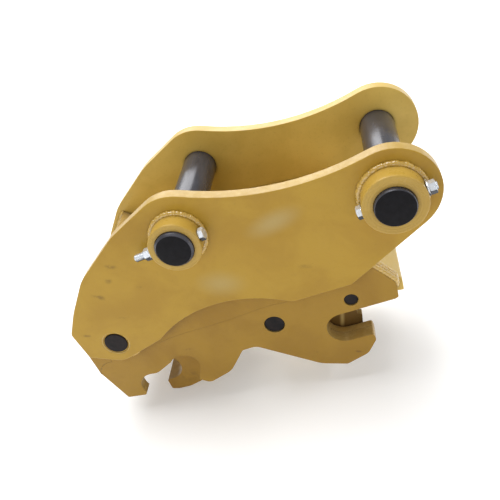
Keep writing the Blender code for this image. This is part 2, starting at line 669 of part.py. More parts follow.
def port_fittings():
    """Adaptors with a hexagon, screwed into the port bosses and closed by caps."""
    for name, station in PORT_STATIONS.items():
        seat = BARREL_R + PORT_HEIGHT + GAP
        hex_r, hex_h = FITTING_HEX
        nose_r, nose_h = FITTING_NOSE
        fitting = prism("port_fitting_" + name, hex_r, hex_h, 6, ZINC, CYLINDER_AXIS,
                        (along(station), 0, seat + hex_h / 2), (0, 0, 0))
        nose = prism("fitting_nose_" + name, nose_r, nose_h, BOLT_FACETS, None, CYLINDER_AXIS,
                     (along(station), 0, seat + hex_h + nose_h / 2 - BOLT_OVERLAP / 2), (0, 0, 0), CUTTERS)
        tail = prism("fitting_tail_" + name, PORT_BORE_R - GAP, nose_h, BOLT_FACETS, None, CYLINDER_AXIS,
                     (along(station), 0, seat - nose_h / 2 + BOLT_OVERLAP), (0, 0, 0), CUTTERS)
        combine(fitting, nose, 'UNION')
        combine(fitting, tail, 'UNION')


def check_valve():
    """Lock valve that holds the hook if pressure is lost, bolted to the barrel's pad."""
    length, width, height = VALVE_SIZE
    base = BARREL_R + PAD_HEIGHT + GAP
    valve = block("check_valve_block", (length, width, height), ZINC, CYLINDER_AXIS,
                  (along(VALVE_STATION), 0, base + height / 2))
    for end in (-1, 1):
        plug = prism("valve_plug_%d" % end, *VALVE_PLUG, 6, None, CYLINDER_AXIS,
                     (along(VALVE_STATION) + end * (length / 2 + 0.004), 0, base + height / 2),
                     AXIS_TURNS["x"], CUTTERS)
        combine(valve, plug, 'UNION')


def piston_and_rod():
    gland_end = BARREL_END + GAP + GLAND_LENGTH
    turned("cylinder_gland", ring_profile(ROD_R + GAP, BARREL_R, along(gland_end), along(BARREL_END + GAP)),
           "x", BLACK_PAINT, CYLINDER_AXIS, closed=True)
    piston_end = PISTON_START + PISTON_LENGTH
    turned("piston", rod_profile(BORE_R - PISTON_CLEARANCE, along(piston_end), along(PISTON_START)), "x",
           DARK_STEEL, ROD_AXIS)
    rod_end = CYLINDER_LENGTH - ROD_EYE_R + 0.004
    turned("piston_rod", rod_profile(ROD_R, along(rod_end), along(piston_end + GAP)), "x", CHROME, ROD_AXIS)
    half = ROD_EYE_WIDTH / 2
    eye = turned("rod_eye", rod_profile(ROD_EYE_R, -half, half), "y", BLACK_PAINT, ROD_AXIS,
                 (along(CYLINDER_LENGTH), 0, 0))
    bore = prism("rod_eye_bore", ROD_PIN_R + ROD_EYE_CLEARANCE, 2 * ROD_EYE_WIDTH, INNER, None, ROD_AXIS,
                 (along(CYLINDER_LENGTH), 0, 0), AXIS_TURNS["y"], CUTTERS)
    socket = prism("rod_socket", ROD_R + GAP, 0.080, INNER, None, ROD_AXIS,
                   (along(rod_end + GAP) + 0.040, 0, 0), AXIS_TURNS["x"], CUTTERS)
    combine(eye, bore, 'DIFFERENCE')
    combine(eye, socket, 'DIFFERENCE')


def cylinder_pin():
    place = (CYLINDER_PIN[0], 0, CYLINDER_PIN[1])
    turned("cylinder_pin", rod_profile(CYLINDER_PIN_R, -LOWER_OUT + CYLINDER_PIN_RECESS, LOWER_OUT,
                                       CYLINDER_PIN_CHAMFER), "y", DARK_STEEL, place=place, facets=ROUND)
    for side, sign in SIDES.items():
        low, high = sorted((sign * (BASE_EYE_WIDTH / 2 + GAP), sign * (LOWER_IN - GAP)))
        turned("cylinder_spacer_" + side, ring_profile(CYLINDER_PIN_R + GAP, CYLINDER_PIN_R + 0.009, low,
                                                       high), "y", BLACK_PAINT, place=place, closed=True)


# ---------------------------------------------------------------- safety latch
def safety_latch():
    """Two arms on one hub tube; the arms hang into the mouth of the front jaw."""
    reach = DOUBLER_IN - 2 * GAP
    x, z = LATCH_PIN
    arm = outline(arc(LATCH_PIN, LATCH_HUB_R + 0.0015, 0, 180), (x - 0.050, z - 0.040, 0.030),
                  (x - 0.078, z - 0.078, 0.015), (x - 0.066, z - 0.112, 0.012), (x - 0.034, z - 0.126, 0.020),
                  (x - 0.006, z - 0.1255, 0.010), (x + 0.009, z - 0.1225, 0.003), (x + 0.013, z - 0.088, 0.003),
                  (x + 0.0015, z - 0.086, 0.003), (x + 0.004, z - 0.040, 0.020), (x + 0.026, z - 0.020, 0.010))
    bore = circle(LATCH_PIN, LATCH_PIN_R + GAP)
    latch = plate("safety_latch", [arm, bore], -reach, -reach + LATCH_ARM_T, YELLOW, LATCH_AXIS, LATCH_PIN)
    other = plate("latch_arm_left", [arm, bore], reach - LATCH_ARM_T, reach, None, LATCH_AXIS, LATCH_PIN,
                  CUTTERS)
    hub = turned("latch_hub", ring_profile(LATCH_PIN_R + HUB_RELIEF, LATCH_HUB_R, -reach + LATCH_ARM_T / 2,
                                           reach - LATCH_ARM_T / 2), "y", None, LATCH_AXIS, closed=True,
                 home=CUTTERS)
    combine(latch, hub, 'UNION')
    combine(latch, other, 'UNION')
    turned("latch_pin", rod_profile(LATCH_PIN_R, -LOWER_OUT + LATCH_PIN_RECESS, LOWER_OUT, 0.001), "y",
           DARK_STEEL, place=(x, 0, z), facets=ROUND)
    latch_spring()


def latch_spring():
    """Torsion spring round the hub: a close coil whose turns are worked out here."""
    steps = 10
    radius = (LATCH_HUB_R + SPRING_WIRE_R + 2 * GAP) / math.cos(math.pi / steps)
    curve = bpy.data.curves.new("latch_spring", 'CURVE')
    curve.dimensions = '3D'
    curve.bevel_depth = SPRING_WIRE_R
    curve.bevel_resolution = 1
    curve.use_fill_caps = True
    spline = curve.splines.new('POLY')
    spline.points.add(SPRING_TURNS * steps)
    for i, point in enumerate(spline.points):
        turn = 2 * math.pi * i / steps
        y = SPRING_PITCH * (i / steps - SPRING_TURNS / 2)
        point.co = (radius * math.cos(turn), y, radius * math.sin(turn), 1)
    coil = bpy.data.objects.new("latch_spring", curve)
    curve.materials.append(SPRING_STEEL)
    coil.parent = LATCH_AXIS
    PARTS.objects.link(coil)


# ---------------------------------------------------------------- keepers
def keeper(name, centre, pin_r, sizes, face_y, lean):
    """A flag plate over a pin's left end, with the bolt that holds it to the side plate."""
    half_width, offset = sizes
    bolt = keeper_bolt(centre, sizes, lean)
    away = math.radians(90 - lean)
    side = Vector((math.sin(away), -math.cos(away))) * half_width
    out = Vector((math.cos(away), math.sin(away)))
    near = Vector(centre) - out * (pin_r * 0.55)
    far = Vector(centre) + out * (offset + half_width * 0.75)
    edge = outline((*(near + side), half_width * 0.4), (*(far + side), half_width * 0.4),
                   (*(far - side), half_width * 0.4), (*(near - side), half_width * 0.4))
    low = face_y + GAP
    plate(name, [edge, circle(bolt, KEEPER_BOLT_R + GAP, BOLT_FACETS)], low, low + KEEPER_T, YELLOW)
    seat = low + KEEPER_T + GAP
    length = seat + 0.001 - (face_y - KEEPER_BOLT_DEPTH)
    made = prism(name + "_bolt", KEEPER_BOLT_R - GAP, length, BOLT_FACETS, ZINC, COUPLER,
                 (bolt[0], seat + 0.001 - length / 2, bolt[1]), AXIS_TURNS["y"])
    head = prism(name + "_bolt_head", KEEPER_BOLT_AF / math.sqrt(3), KEEPER_HEAD_H, 6, None, COUPLER,
                 (bolt[0], seat + KEEPER_HEAD_H / 2, bolt[1]), AXIS_TURNS["y"], CUTTERS)
    combine(made, head, 'UNION')


def keepers():
    keeper("shaft_keeper", HOOK_PIVOT, SHAFT_R, SHAFT_KEEPER, UPPER_OUT, 45)
    keeper("cylinder_pin_keeper", CYLINDER_PIN, CYLINDER_PIN_R, CYLINDER_KEEPER, LOWER_OUT, 90)
    keeper("latch_pin_keeper", LATCH_PIN, LATCH_PIN_R, LATCH_KEEPER, LOWER_OUT, 90)


# ---------------------------------------------------------------- place the whole coupler
def stand_on_base():
    """Move the design frame so that the outer box stands on Z = 0, centred on the origin."""
    bpy.context.view_layer.update()
    graph = bpy.context.evaluated_depsgraph_get()
    corners = []
    for piece in PARTS.objects:
        if piece.type != 'EMPTY':
            shown = piece.evaluated_get(graph)
            shape = shown.to_mesh()
            corners += [piece.matrix_world @ vertex.co for vertex in shape.vertices]
            shown.to_mesh_clear()
    low = [min(corner[axis] for corner in corners) for axis in range(3)]
    high = [max(corner[axis] for corner in corners) for axis in range(3)]
    COUPLER.location = (-(low[0] + high[0]) / 2, -(low[1] + high[1]) / 2, -low[2])
    bpy.context.view_layer.update()


upper_side_plates()
stick_pins_and_collars()
lower_hook_plates()
jaw_doublers()
cross_plates()
moving_hook()
hook_shaft()
cylinder_barrel()
port_fittings()
check_valve()
piston_and_rod()
cylinder_pin()
safety_latch()
keepers()
stand_on_base()
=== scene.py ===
"""Looks of the quick coupler: detailed pieces, paint, welds, floor, light and camera round the CAD frame.

Lengths are in metres. +Z is up, +X is the front end and -Y is the side called right.
"""
import bpy
import bmesh
import json
import math
from mathutils import Euler, Matrix, Vector, noise


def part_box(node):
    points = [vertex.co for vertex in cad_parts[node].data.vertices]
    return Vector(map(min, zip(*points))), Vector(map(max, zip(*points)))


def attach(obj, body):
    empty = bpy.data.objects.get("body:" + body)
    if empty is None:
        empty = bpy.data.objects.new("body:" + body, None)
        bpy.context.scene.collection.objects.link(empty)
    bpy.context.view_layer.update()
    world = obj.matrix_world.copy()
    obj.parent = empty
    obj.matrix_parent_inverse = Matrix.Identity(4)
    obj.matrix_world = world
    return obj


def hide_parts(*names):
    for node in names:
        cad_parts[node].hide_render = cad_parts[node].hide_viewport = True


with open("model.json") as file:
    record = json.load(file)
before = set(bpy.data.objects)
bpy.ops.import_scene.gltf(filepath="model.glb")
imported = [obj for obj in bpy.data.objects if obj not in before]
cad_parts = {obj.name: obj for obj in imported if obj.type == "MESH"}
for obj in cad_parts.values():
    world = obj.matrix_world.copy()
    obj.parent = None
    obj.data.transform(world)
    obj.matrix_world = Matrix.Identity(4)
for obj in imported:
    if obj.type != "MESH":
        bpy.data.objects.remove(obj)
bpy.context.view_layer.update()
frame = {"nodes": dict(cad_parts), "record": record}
NODES = frame["nodes"]
BODY_OF = {node: body for body, nodes in frame["record"]["behaviour"]["bodies"].items() for node in nodes}
SIDES = {"right": -1, "left": 1}


def middle(node):
    low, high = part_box(node)
    return (low + high) / 2


REAR_PIN = middle("rear_stick_pin")
FRONT_PIN = middle("front_stick_pin")
SHAFT = middle("hook_shaft")
LATCH_PIN = middle("latch_pin")
UPPER_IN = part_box("upper_side_plate_left")[0].y
UPPER_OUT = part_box("upper_side_plate_left")[1].y
LOWER_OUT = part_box("lower_hook_plate_left")[1].y


def at(x, z):
    """A point on the part's middle plane, measured from the rear stick pin."""
    return Vector((REAR_PIN.x + x, 0.0, REAR_PIN.z + z))


# ---------------------------------------------------------------- node materials
THROUGH = 10.0        # depth of a spot along Y, so that it marks both faces of a plate
FLAT = 1e6            # scale that leaves Y out of a distance


class Graph:
    """A few helpers round one material's node tree."""

    def __init__(self, name):
        self.material = bpy.data.materials.new(name)
        self.material.use_nodes = True
        self.tree = self.material.node_tree
        self.shader = self.tree.nodes["Principled BSDF"]
        self.coords = self.tree.nodes.new("ShaderNodeTexCoord")

    def node(self, kind, **values):
        made = self.tree.nodes.new("ShaderNode" + kind)
        for key, value in values.items():
            setattr(made, key, value)
        return made

    def join(self, source, target):
        self.tree.links.new(source, target)

    def put(self, socket, value):
        if isinstance(value, (int, float, tuple)):
            socket.default_value = value
        else:
            self.join(value, socket)

    def math(self, operation, a, b=0.0):
        made = self.node("Math", operation=operation)
        self.put(made.inputs[0], a)
        self.put(made.inputs[1], b)
        return made.outputs[0]

    def span(self, value, low, high, to_low=0.0, to_high=1.0):
        """value mapped from low..high to to_low..to_high, smoothly and clamped."""
        made = self.node("MapRange", interpolation_type='SMOOTHSTEP')
        for socket, item in zip(made.inputs, (value, low, high, to_low, to_high)):
            self.put(socket, item)
        return made.outputs[0]

    def mix(self, amount, a, b):
        made = self.node("Mix", data_type='RGBA')
        self.put(made.inputs[0], amount)
        self.put(made.inputs[6], a)
        self.put(made.inputs[7], b)
        return made.outputs[2]

    def place(self, location=(0, 0, 0), turn=(0, 0, 0), scale=(1, 1, 1)):
        made = self.node("Mapping", vector_type='TEXTURE')
        made.inputs["Location"].default_value = location
        made.inputs["Rotation"].default_value = turn
        made.inputs["Scale"].default_value = scale
        self.join(self.coords.outputs["Object"], made.inputs["Vector"])
        return made.outputs[0]

    def noise(self, scale, detail, rough, vector=None, distortion=0.0):
        made = self.node("TexNoise")
        made.inputs["Scale"].default_value = scale
        made.inputs["Detail"].default_value = detail
        made.inputs["Roughness"].default_value = rough
        made.inputs["Distortion"].default_value = distortion
        self.join(vector or self.coords.outputs["Object"], made.inputs["Vector"])
        return made.outputs["Fac"]

    def length(self, vector):
        made = self.node("VectorMath", operation='LENGTH')
        self.join(vector, made.inputs[0])
        return made.outputs["Value"]

    def facing(self, axis):
        """How far the surface is turned towards one of the part's axes, -1 to 1."""
        split = self.node("SeparateXYZ")
        self.join(self.coords.outputs["Normal"], split.inputs[0])
        return split.outputs[axis]

    def bump(self, height, distance, strength, under=None):
        made = self.node("Bump")
        made.inputs["Distance"].default_value = distance
        made.inputs["Strength"].default_value = strength
        self.join(height, made.inputs["Height"])
        if under:
            self.join(under, made.inputs["Normal"])
        return made.outputs["Normal"]

    def rings(self, centre, waves):
        """Ripples round an axis along Y, with so many radians of them to a metre."""
        distance = self.length(self.place(centre, scale=(1, FLAT, 1)))
        return self.math('SINE', self.math('MULTIPLY', distance, waves))

    def oval(self, centre, size, turn):
        """Distance from the centre of an oval on the X-Z plane: 1 on its rim."""
        return self.length(self.place(centre, (0, turn, 0), (size[0], THROUGH, size[1])))

    def spot(self, centre, size, turn):
        """1 in the middle of an oval, 0 outside, broken up by noise."""
        inside = self.span(self.oval(centre, size, turn), 1.0, 0.15)
        broken = self.span(self.noise(SPOT_GRAIN, 4.0, 0.65, distortion=0.5), 0.36, 0.62)
        return self.math('MULTIPLY', inside, broken)

    def patch(self, centre, size, turn):
        """1 in the middle of an oval, fading out evenly."""
        return self.span(self.oval(centre, size, turn), 1.0, 0.0)

    def finish(self, colour, roughness, normal=None):
        self.put(self.shader.inputs["Base Color"], colour)
        self.put(self.shader.inputs["Roughness"], roughness)
        if normal is not None:
            self.put(self.shader.inputs["Normal"], normal)
        return self.material


def rgb(red, green, blue):
    """A linear colour from the 0-255 values in which it is usually given."""
    def linear(value):
        value /= 255.0
        return value / 12.92 if value <= 0.04045 else ((value + 0.055) / 1.055) ** 2.4
    return (linear(red), linear(green), linear(blue), 1.0)


# Noise scales: the larger, the finer
CLOUDS = 7.0
WAVY_SURFACE = 22.0
GLOSS_PATCHES = 30.0
WORN_PATCHES = 55.0
SPOT_GRAIN = 70.0
SHADE_GRAIN = 90.0
DUST_GRAIN = 160.0
ORANGE_PEEL = 260.0
CUT_LINES = 420.0

CUT_LINE_STRETCH = 14       # flame-cut lines run across the plate's edge
WAVE_HEIGHT = 0.0010
CUT_LINE_HEIGHT = 0.0009
RING_HEIGHT = 0.0004
PAINTED_RINGS = 1100.0      # radians to a metre, so 5.7 mm apart
SHADE_SPAN = 0.44            # loss of openness from no painted shade to the darkest

DUST = rgb(120, 92, 40)
SMUDGE = rgb(92, 66, 32)
# colour of the painted shade in corners and hollows
CREVICE_SHADE = rgb(70, 46, 20)
# pale tone of the plate edges: worn paint and a painted highlight
EDGE_WEAR_AND_HIGHLIGHT = rgb(206, 182, 126)
HAZE = rgb(180, 162, 112)


def paint(name, base, deep, smudges=(), hazes=(), cut_edges=False, gloss=0.34, peel=0.00035, corner_shade=0.8,
          rings=None, sheen=0.22, haze_colour=HAZE, outside=None, reach=0.011, clear=0.86):
    """Sprayed paint: two cloudy colours, dust, hazes, smudges, painted shade in corners and orange peel.

    smudges and hazes are (centre, size, turn, strength). rings is the axis of a turned piece. outside is the
    colour of faces turned to +Y. The painted shade in corners looks for walls within reach, and a point more open
    than clear gets none.
    """
    g = Graph(name)
    cloud = g.span(g.noise(CLOUDS, 4.0, 0.6, distortion=0.4), 0.38, 0.66)
    colour = g.mix(cloud, base, deep)
    if outside is not None:
        colour = g.mix(g.span(g.facing("Y"), 0.3, 0.7), colour, outside)
    dust = g.span(g.noise(DUST_GRAIN, 3.0, 0.6), 0.55, 0.78, 0.0, 0.16)
    colour = g.mix(dust, colour, DUST)
    for centre, size, turn, strength in hazes:
        colour = g.mix(g.math('MULTIPLY', g.patch(centre, size, turn), strength), colour, haze_colour)
    for centre, size, turn, strength in smudges:
        colour = g.mix(g.math('MULTIPLY', g.spot(centre, size, turn), strength), colour, SMUDGE)

    # painted shade: the colour darkens in corners and hollows that ambient occlusion finds, broken up by noise
    crevice = g.node("AmbientOcclusion", samples=6)
    crevice.inputs["Distance"].default_value = reach
    broken = g.span(g.noise(SHADE_GRAIN, 3.0, 0.6), 0.25, 0.75, 0.65, 1.0)
    shade_amount = g.span(crevice.outputs["AO"], clear, clear - SHADE_SPAN, 0.0, corner_shade)
    colour = g.mix(g.math('MULTIPLY', shade_amount, broken), colour, CREVICE_SHADE)

    normal = g.bump(g.noise(ORANGE_PEEL, 2.0, 0.5), peel, 0.55)
    normal = g.bump(g.noise(WAVY_SURFACE, 2.0, 0.5), WAVE_HEIGHT, 0.25, normal)
    rough = g.span(g.noise(GLOSS_PATCHES, 4.0, 0.6), 0.3, 0.75, gloss - 0.05, gloss + 0.16)
    if cut_edges:
        edge = g.span(g.math('ABSOLUTE', g.facing("Y")), 0.75, 0.35)
        lines = g.noise(CUT_LINES, 3.0, 0.6, g.place(scale=(1, CUT_LINE_STRETCH, 1)))
        normal = g.bump(g.math('MULTIPLY', lines, edge), CUT_LINE_HEIGHT, 0.5, normal)
        # edge faces are lightened in noisy patches: worn paint on the cut edges, and a painted highlight for the
        # light they catch
        worn_and_lit = g.span(g.noise(WORN_PATCHES, 4.0, 0.7), 0.40, 0.75, 0.30, 0.62)
        colour = g.mix(g.math('MULTIPLY', worn_and_lit, edge), colour, EDGE_WEAR_AND_HIGHLIGHT)
    if rings is not None:
        normal = g.bump(g.rings(rings, PAINTED_RINGS), RING_HEIGHT, 0.35, normal)

    g.shader.inputs["Specular IOR Level"].default_value = sheen
    g.shader.inputs["Coat Weight"].default_value = sheen * 0.5
    g.shader.inputs["Coat Roughness"].default_value = 0.18
    return g.finish(colour, rough, normal)


STEEL_GRAIN_HEIGHT = 0.0002
STEEL_RINGS = 4200.0        # radians to a metre, so 1.5 mm apart
STEEL_RING_HEIGHT = 0.00006


def steel(name, light, dark, low, high, ring_centre=None, metallic=1.0, scale=40.0, streak=None,
          underside_shade=None, sheen=0.5):
    """Machined or plated steel: patchy tone, roughness from low to high, turning rings round an axis along Y.

    streak stretches the patches. The underside colour is a painted shade for faces turned down.
    """
    g = Graph(name)
    source = g.place(scale=streak) if streak else None
    tone = g.span(g.noise(scale, 4.0, 0.6, source), 0.3, 0.7)
    colour = g.mix(tone, dark, light)
    rough = g.span(g.noise(scale * 1.7, 4.0, 0.65, source), 0.3, 0.75, low, high)
    normal = g.bump(g.noise(scale * 6.0, 2.0, 0.5), STEEL_GRAIN_HEIGHT, 0.35)
    if ring_centre is not None:
        normal = g.bump(g.rings(ring_centre, STEEL_RINGS), STEEL_RING_HEIGHT, 0.5, normal)
    # painted shade: faces turned down take the darker underside colour
    if underside_shade is not None:
        colour = g.mix(g.span(g.facing("Z"), 0.25, -0.35), colour, underside_shade)
    g.shader.inputs["Metallic"].default_value = metallic
    g.shader.inputs["Specular IOR Level"].default_value = sheen
    return g.finish(colour, rough, normal)


YELLOW, YELLOW_DEEP = rgb(177, 141, 48), rgb(167, 130, 42)
TURNED_GLOSS = 0.30
PAINT_UPPER = paint(
    "paint_upper_plate", YELLOW, YELLOW_DEEP, cut_edges=True, corner_shade=0.45,
    smudges=[(at(-0.230, -0.112), (0.022, 0.010), 0.5, 0.55), (at(-0.170, -0.040), (0.018, 0.009), 0.3, 0.50),
             (at(-0.190, -0.075), (0.012, 0.010), 0.0, 0.45), (at(-0.305, -0.215), (0.020, 0.006), 0.2, 0.45),
             (at(-0.200, -0.180), (0.022, 0.004), 0.1, 0.40), (at(0.236, -0.130), (0.020, 0.008), 0.2, 0.35),
             (at(-0.130, -0.105), (0.012, 0.006), 0.2, 0.30)],
    hazes=[(at(0.050, -0.135), (0.070, 0.045), 0.2, 0.45), (at(0.200, -0.010), (0.080, 0.035), -0.3, 0.55)])
# darker yellow than the upper plates; the corner shade reaches far here, a broad painted shadow below the upper
# plates' edge
PAINT_LOWER = paint(
    "paint_lower_plate", rgb(162, 125, 40), rgb(152, 115, 35), cut_edges=True, reach=0.05, clear=0.93,
    smudges=[(at(0.300, -0.420), (0.012, 0.005), 0.4, 0.60), (at(0.205, -0.400), (0.010, 0.007), 0.0, 0.40),
             (at(-0.100, -0.330), (0.020, 0.006), 0.2, 0.30)])
# faces not turned to +Y get a lighter yellow than YELLOW: painted light on the far plates' inner faces and on the
# cross plates
PAINT_LIGHTENED = paint("paint_yellow_painted_light", rgb(213, 181, 93), rgb(202, 170, 83), cut_edges=True, outside=YELLOW)
PAINT_COLLAR_FRONT, PAINT_COLLAR_REAR = (
    paint("paint_collar_" + end, rgb(184, 150, 66), rgb(174, 140, 58), gloss=TURNED_GLOSS, rings=pin, sheen=0.3)
    for end, pin in (("front", FRONT_PIN), ("rear", REAR_PIN)))
PAINT_BUSH = paint("paint_turned", rgb(186, 148, 54), rgb(176, 138, 46), gloss=TURNED_GLOSS, rings=SHAFT)
PAINT_HOOK = paint("paint_hook", rgb(160, 122, 42), rgb(146, 108, 36), cut_edges=True, gloss=0.38,
                   smudges=[(at(-0.150, -0.470), (0.05, 0.03), 0.0, 0.35)])
# dark brown as painted shade inside the jaw; the one light strip down the latch arm is a painted highlight
PAINT_LATCH_SHADED = paint("paint_latch_shaded", rgb(102, 75, 30), rgb(82, 60, 24), cut_edges=True, gloss=0.42,
                    hazes=[(at(0.2755, -0.357), (0.0080, 0.050), math.radians(11), 0.55)],
                    haze_colour=rgb(214, 186, 120))
PAINT_WELD = paint("paint_weld", rgb(200, 164, 74), rgb(190, 152, 62), gloss=0.11, peel=0.0002, corner_shade=0.25,
                   sheen=0.9)
PAINT_BLACK = paint("paint_black", rgb(30, 30, 32), rgb(22, 22, 24), gloss=0.42)
REAR_PIN_END, FRONT_PIN_END = (
    steel(name, rgb(20, 19, 23), rgb(13, 12, 15), 0.42, 0.58, pin, 0.0, 90.0, sheen=0.12)
    for name, pin in (("pin_end", REAR_PIN), ("pin_end_front", FRONT_PIN)))
PIN_BODY = steel("pin_body", rgb(84, 84, 91), rgb(64, 64, 70), 0.20, 0.28, metallic=0.35, scale=30.0,
                 streak=(1, 4.0, 1))
SMALL_PIN = steel("small_pin", rgb(36, 29, 29), rgb(18, 16, 18), 0.36, 0.58, metallic=0.0, scale=60.0, sheen=0.15)
# zinc plate with painted shade on its faces turned down
ZINC = steel("zinc_plate", rgb(238, 243, 248), rgb(222, 228, 236), 0.20, 0.30, metallic=0.60, scale=50.0,
             underside_shade=rgb(58, 61, 67))
CHROME = steel("hard_chrome", rgb(225, 226, 228), rgb(212, 213, 216), 0.05, 0.10, scale=60.0)
BRONZE = steel("bronze", rgb(176, 136, 84), rgb(150, 110, 62), 0.25, 0.40, scale=70.0)
SPRING = steel("spring_wire", rgb(92, 92, 98), rgb(60, 60, 66), 0.25, 0.40, scale=90.0)


# ---------------------------------------------------------------- pieces from CAD nodes
def add_piece(name, mesh, body, material):
    piece = bpy.data.objects.new(name, mesh)
    bpy.context.scene.collection.objects.link(piece)
    mesh.materials.clear()
    mesh.materials.append(material)
    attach(piece, body)
    return piece


def smooth_mesh(name, shell):
    mesh = bpy.data.meshes.new(name)
    shell.to_mesh(mesh)
    shell.free()
    mesh.shade_smooth()
    return mesh


def clean_copy(node):
    """The node's mesh with its corners joined again and its flat faces made whole."""
    shell = bmesh.new()
    shell.from_mesh(NODES[node].data)
    bmesh.ops.remove_doubles(shell, verts=shell.verts, dist=0.00001)
    bmesh.ops.dissolve_limit(shell, angle_limit=math.radians(0.8), verts=shell.verts, edges=shell.edges)
    return smooth_mesh("detailed_" + node, shell)


def soften(piece, rounding):
    """Rounded corners that catch the light, with the flat faces left flat."""
    bevel = piece.modifiers.new("Edges", 'BEVEL')
    bevel.width = rounding
    bevel.segments = 2
    bevel.limit_method = 'ANGLE'
    bevel.angle_limit = math.radians(32)
    bevel.miter_outer = 'MITER_ARC'
    shade = piece.modifiers.new("Shading", 'WEIGHTED_NORMAL')
    shade.keep_sharp = False
    shade.weight = 60


def detailed(node, rounding, material):
    piece = add_piece("detailed_" + node, clean_copy(node), BODY_OF[node], material)
    soften(piece, rounding)
    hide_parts(node)


def copies(name):
    """The node of that name, or the right and left nodes when the name ends in an underscore."""
    return [name + side for side in SIDES] if name.endswith("_") else [name]


for pieces, rounding, finish in (
        ("upper_side_plate_right", 0.0024, PAINT_UPPER), ("upper_side_plate_left", 0.0016, PAINT_LIGHTENED),
        ("lower_hook_plate_right", 0.0016, PAINT_LOWER), ("lower_hook_plate_left", 0.0016, PAINT_LIGHTENED),
        ("jaw_doubler_", 0.0012, PAINT_HOOK), ("rear_cross_plate", 0.0015, PAINT_LOWER),
        ("front_cross_plate", 0.0015, PAINT_LIGHTENED), ("deck_plate", 0.0015, PAINT_LIGHTENED), ("floor_plate", 0.0015, PAINT_LIGHTENED),
        ("moving_hook", 0.0018, PAINT_HOOK), ("safety_latch", 0.0008, PAINT_LATCH_SHADED),
        ("front_collar_", 0.0014, PAINT_COLLAR_FRONT), ("rear_collar_", 0.0014, PAINT_COLLAR_REAR),
        ("shaft_bush_", 0.0004, PAINT_BUSH), ("shaft_keeper", 0.0010, PAINT_LIGHTENED),
        ("cylinder_pin_keeper", 0.0010, PAINT_LIGHTENED), ("latch_pin_keeper", 0.0010, PAINT_LIGHTENED),
        ("hook_shaft", 0.0006, SMALL_PIN), ("cylinder_pin", 0.0006, SMALL_PIN), ("latch_pin", 0.0005, SMALL_PIN),
        ("rod_pin", 0.0006, SMALL_PIN), ("hook_bush", 0.0004, BRONZE), ("hook_spacer_", 0.0005, PAINT_BLACK),
        ("cylinder_barrel", 0.0010, PAINT_BLACK), ("cylinder_gland", 0.0010, PAINT_BLACK),
        ("check_valve_block", 0.0010, ZINC), ("port_fitting_base", 0.0004, ZINC),
        ("port_fitting_rod", 0.0004, ZINC), ("piston", 0.0006, SMALL_PIN), ("piston_rod", 0.0006, CHROME),
        ("rod_eye", 0.0008, PAINT_BLACK), ("cylinder_spacer_", 0.0005, PAINT_BLACK),
        ("latch_spring", 0.0001, SPRING)):
    for node_name in copies(pieces):
        detailed(node_name, rounding, finish)


# ---------------------------------------------------------------- turned pins and fasteners
ROUND_STEPS = 112           # steps round a stick pin
CORNER_BREAK = 0.0006       # length of the small flat beside a pin's chamfer
FRONT_CHAMFER = 0.0018
REAR_CHAMFER = 0.0042

BOLT_ACROSS = 0.024         # M16 head and nut
BOLT_RADIUS = 0.0080
BOLT_HEAD = 0.010
BOLT_PITCH = 0.0020
BOLT_FLANGE = 0.0116        # washer face under the head
NUT_HEIGHT = 0.0130
THREAD_OVERLAP = 0.002      # thread that runs on inside the nut
WASHER_OUTER = 0.0148
WASHER_INNER = 0.0085
WASHER_THICK = 0.0030
WASHER_EDGE = 0.0005
WASHER_GAP = 0.0003         # between a nut and its washer
KEEPER_BOLT_ACROSS = 0.019  # M12 head
KEEPER_BOLT_HEAD = 0.0075
KEEPER_BOLT_FLANGE = 0.0095
FLANGE_THICK = 0.0007
FLANGE_MIDDLE = 0.00025     # below the underside of the head


def turned_row(shell, radius, height, steps, climb=0.0):
    """A ring of corners round Z that rises by climb in one turn, or one corner repeated on the axis."""
    if radius == 0:
        return [shell.verts.new((0, 0, height))] * steps
    return [shell.verts.new((radius * math.cos(2 * math.pi * k / steps), radius * math.sin(2 * math.pi * k / steps),
                             height + climb * k / steps))
            for k in range(steps)]


def skin(shell, rows):
    """Faces between each row of corners and the next."""
    for row, following in zip(rows, rows[1:]):
        for k in range(len(row)):
            after = (k + 1) % len(row)
            corners = [row[k], row[after], following[after], following[k]]
            shell.faces.new(list(dict.fromkeys(corners)))


def place_mesh(name, shell, place, axis):
    """A mesh of the shell, with the shell's own Z laid along axis, at place."""
    bmesh.ops.recalc_face_normals(shell, faces=shell.faces)
    turn = Vector((0, 0, 1)).rotation_difference(Vector(axis)).to_matrix().to_4x4()
    bmesh.ops.transform(shell, matrix=Matrix.Translation(place) @ turn, verts=shell.verts)
    bmesh.ops.remove_doubles(shell, verts=shell.verts, dist=0.000005)
    mesh = smooth_mesh(name, shell)
    mesh.set_sharp_from_angle(angle=math.radians(28))
    return mesh


def lathe(name, profile, steps, place, axis):
    """A mesh turned from (radius, height) pairs."""
    shell = bmesh.new()
    skin(shell, [turned_row(shell, radius, height, steps) for radius, height in profile])
    return place_mesh(name, shell, place, axis)


def stick_pin(node, end_material, chamfer):
    """Pin with a chamfer and a rounded shoulder at each end."""
    low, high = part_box(node)
    half, radius = (high.y - low.y) / 2, (high.z - low.z) / 2
    one_end = [(0.0, half), (radius - chamfer - CORNER_BREAK, half), (radius - chamfer, half - 0.0002),
               (radius - 0.0004, half - chamfer), (radius, half - chamfer - CORNER_BREAK)]
    profile = one_end + [(r, -h) for r, h in reversed(one_end)]
    mesh = lathe("turned_" + node, profile, ROUND_STEPS, middle(node), (0, 1, 0))
    piece = add_piece("turned_" + node, mesh, "frame", PIN_BODY)
    mesh.materials.append(end_material)
    for face in mesh.polygons:
        face.material_index = 1 if abs(face.normal.y) > 0.9 and abs(face.center.y) > half * 0.9 else 0
    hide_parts(node)


